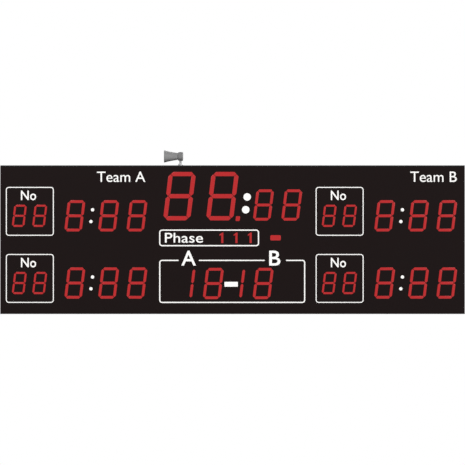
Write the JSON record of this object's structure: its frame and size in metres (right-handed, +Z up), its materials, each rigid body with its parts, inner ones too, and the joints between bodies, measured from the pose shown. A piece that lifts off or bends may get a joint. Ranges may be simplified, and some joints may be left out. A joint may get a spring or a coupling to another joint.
{
  "type": "ice hockey scoreboard",
  "caption": "Wall-hung LED scoreboard for ice hockey: shallow black cabinet, slotted hinged front with red lit digit bars, folding door stays and an aimable horn on top.",
  "frame": {"origin": "middle of the wall rail's rear face, on the wall", "axes": "+X to the spectators' right along the board, +Y into the wall, +Z up"},
  "size_m": [3, 0.1306, 1.0618],
  "materials": {
    "black_panel": "matt black coating on aluminium sheet",
    "black_coat": "fine-textured black powder coat on aluminium",
    "red_lens": "red diffusing acrylic, lit from behind",
    "aluminium": "mill-finished extrusion",
    "steel": "zinc plated",
    "circuit_board": "green solder mask",
    "box_plastic": "moulded grey",
    "black_plastic": "moulded black",
    "horn_grey": "satin mid grey",
    "white_print": "white vinyl film, for the frames, dots and labels on the front"
  },
  "bodies": {
    "cabinet": {"top_profile": "black_coat", "bottom_profile": "black_coat", "left_end_plate": "black_coat", "right_end_plate": "black_coat", "left_back_panel": "black_coat", "centre_back_panel": "black_coat", "right_back_panel": "black_coat", "left_post": "aluminium", "right_post": "aluminium", "upper_module_rail": "aluminium", "middle_module_rail": "aluminium", "lower_module_rail": "aluminium", "bottom_module_rail": "aluminium", "clock_module_rail": "aluminium", "clock_board": "circuit_board", "period_board": "circuit_board", "score_board": "circuit_board", "home_penalty_1_board": "circuit_board", "home_penalty_2_board": "circuit_board", "guest_penalty_1_board": "circuit_board", "guest_penalty_2_board": "circuit_board", "left_power_supply": "aluminium", "right_power_supply": "aluminium", "controller_box": "box_plastic", "terminal_box": "box_plastic", "cable_duct": "box_plastic", "cable_gland": "black_plastic", "wall_rail": "aluminium", "hanging_rail": "aluminium", "left_wall_spacer": "black_plastic", "right_wall_spacer": "black_plastic", "cabinet_hinge_leaf": "black_coat", "hinge_pin": "steel", "left_stay_channel": "aluminium", "right_stay_channel": "aluminium", "horn_foot": "steel"},
    "door": {"front_panel": "black_panel", "door_top_rail": "aluminium", "door_bottom_rail": "aluminium", "door_left_rail": "aluminium", "door_right_rail": "aluminium", "door_hinge_leaf": "black_coat", "clock_lens": "red_lens", "period_lens": "red_lens", "score_lens": "red_lens", "home_penalty_1_lens": "red_lens", "home_penalty_2_lens": "red_lens", "guest_penalty_1_lens": "red_lens", "guest_penalty_2_lens": "red_lens", "left_catch": "steel", "centre_catch": "steel", "right_catch": "steel"},
    "left_stay": {"left_stay_arm": "steel"},
    "right_stay": {"right_stay_arm": "steel"},
    "latch_left": {"left_latch": "steel"},
    "latch_centre": {"centre_latch": "steel"},
    "latch_right": {"right_latch": "steel"},
    "horn_bracket": {"horn_leg": "steel"},
    "horn": {"horn_driver": "horn_grey", "horn_bell": "horn_grey"}
  },
  "joints": [
    {"name": "door_hinge", "type": "hinge", "parent": "cabinet", "child": "door", "pos_m": [0, -0.12595, 0.11595], "axis": [-1, 0, 0], "range_deg": [0, 70]},
    {"name": "left_stay_pivot", "type": "hinge", "parent": "door", "child": "left_stay", "pos_m": [-1.484, -0.10595, -0.16405], "axis": [1, 0, 0], "range_deg": [0, 137]},
    {"name": "right_stay_pivot", "type": "hinge", "parent": "door", "child": "right_stay", "pos_m": [1.484, -0.10595, -0.16405], "axis": [1, 0, 0], "range_deg": [0, 137]},
    {"name": "left_latch_turn", "type": "hinge", "parent": "cabinet", "child": "latch_left", "pos_m": [-1, -0.07, -0.84], "axis": [0, 0, 1], "range_deg": [0, 90]},
    {"name": "centre_latch_turn", "type": "hinge", "parent": "cabinet", "child": "latch_centre", "pos_m": [0, -0.07, -0.84], "axis": [0, 0, 1], "range_deg": [0, 90]},
    {"name": "right_latch_turn", "type": "hinge", "parent": "cabinet", "child": "latch_right", "pos_m": [1, -0.07, -0.84], "axis": [0, 0, 1], "range_deg": [0, 90]},
    {"name": "horn_pan", "type": "hinge", "parent": "cabinet", "child": "horn_bracket", "pos_m": [-0.3375, -0.048, 0.128], "axis": [0, 0, 1], "range_deg": [-15, 100]},
    {"name": "horn_tilt", "type": "hinge", "parent": "horn_bracket", "child": "horn", "pos_m": [-0.3375, -0.08, 0.179], "axis": [0, 1, 0], "range_deg": [-8, 30]}
  ],
  "couplings": [
    {"joint": "left_stay_pivot", "follows": "door_hinge", "ratio": 1.952},
    {"joint": "right_stay_pivot", "follows": "door_hinge", "ratio": 1.952}
  ]
}
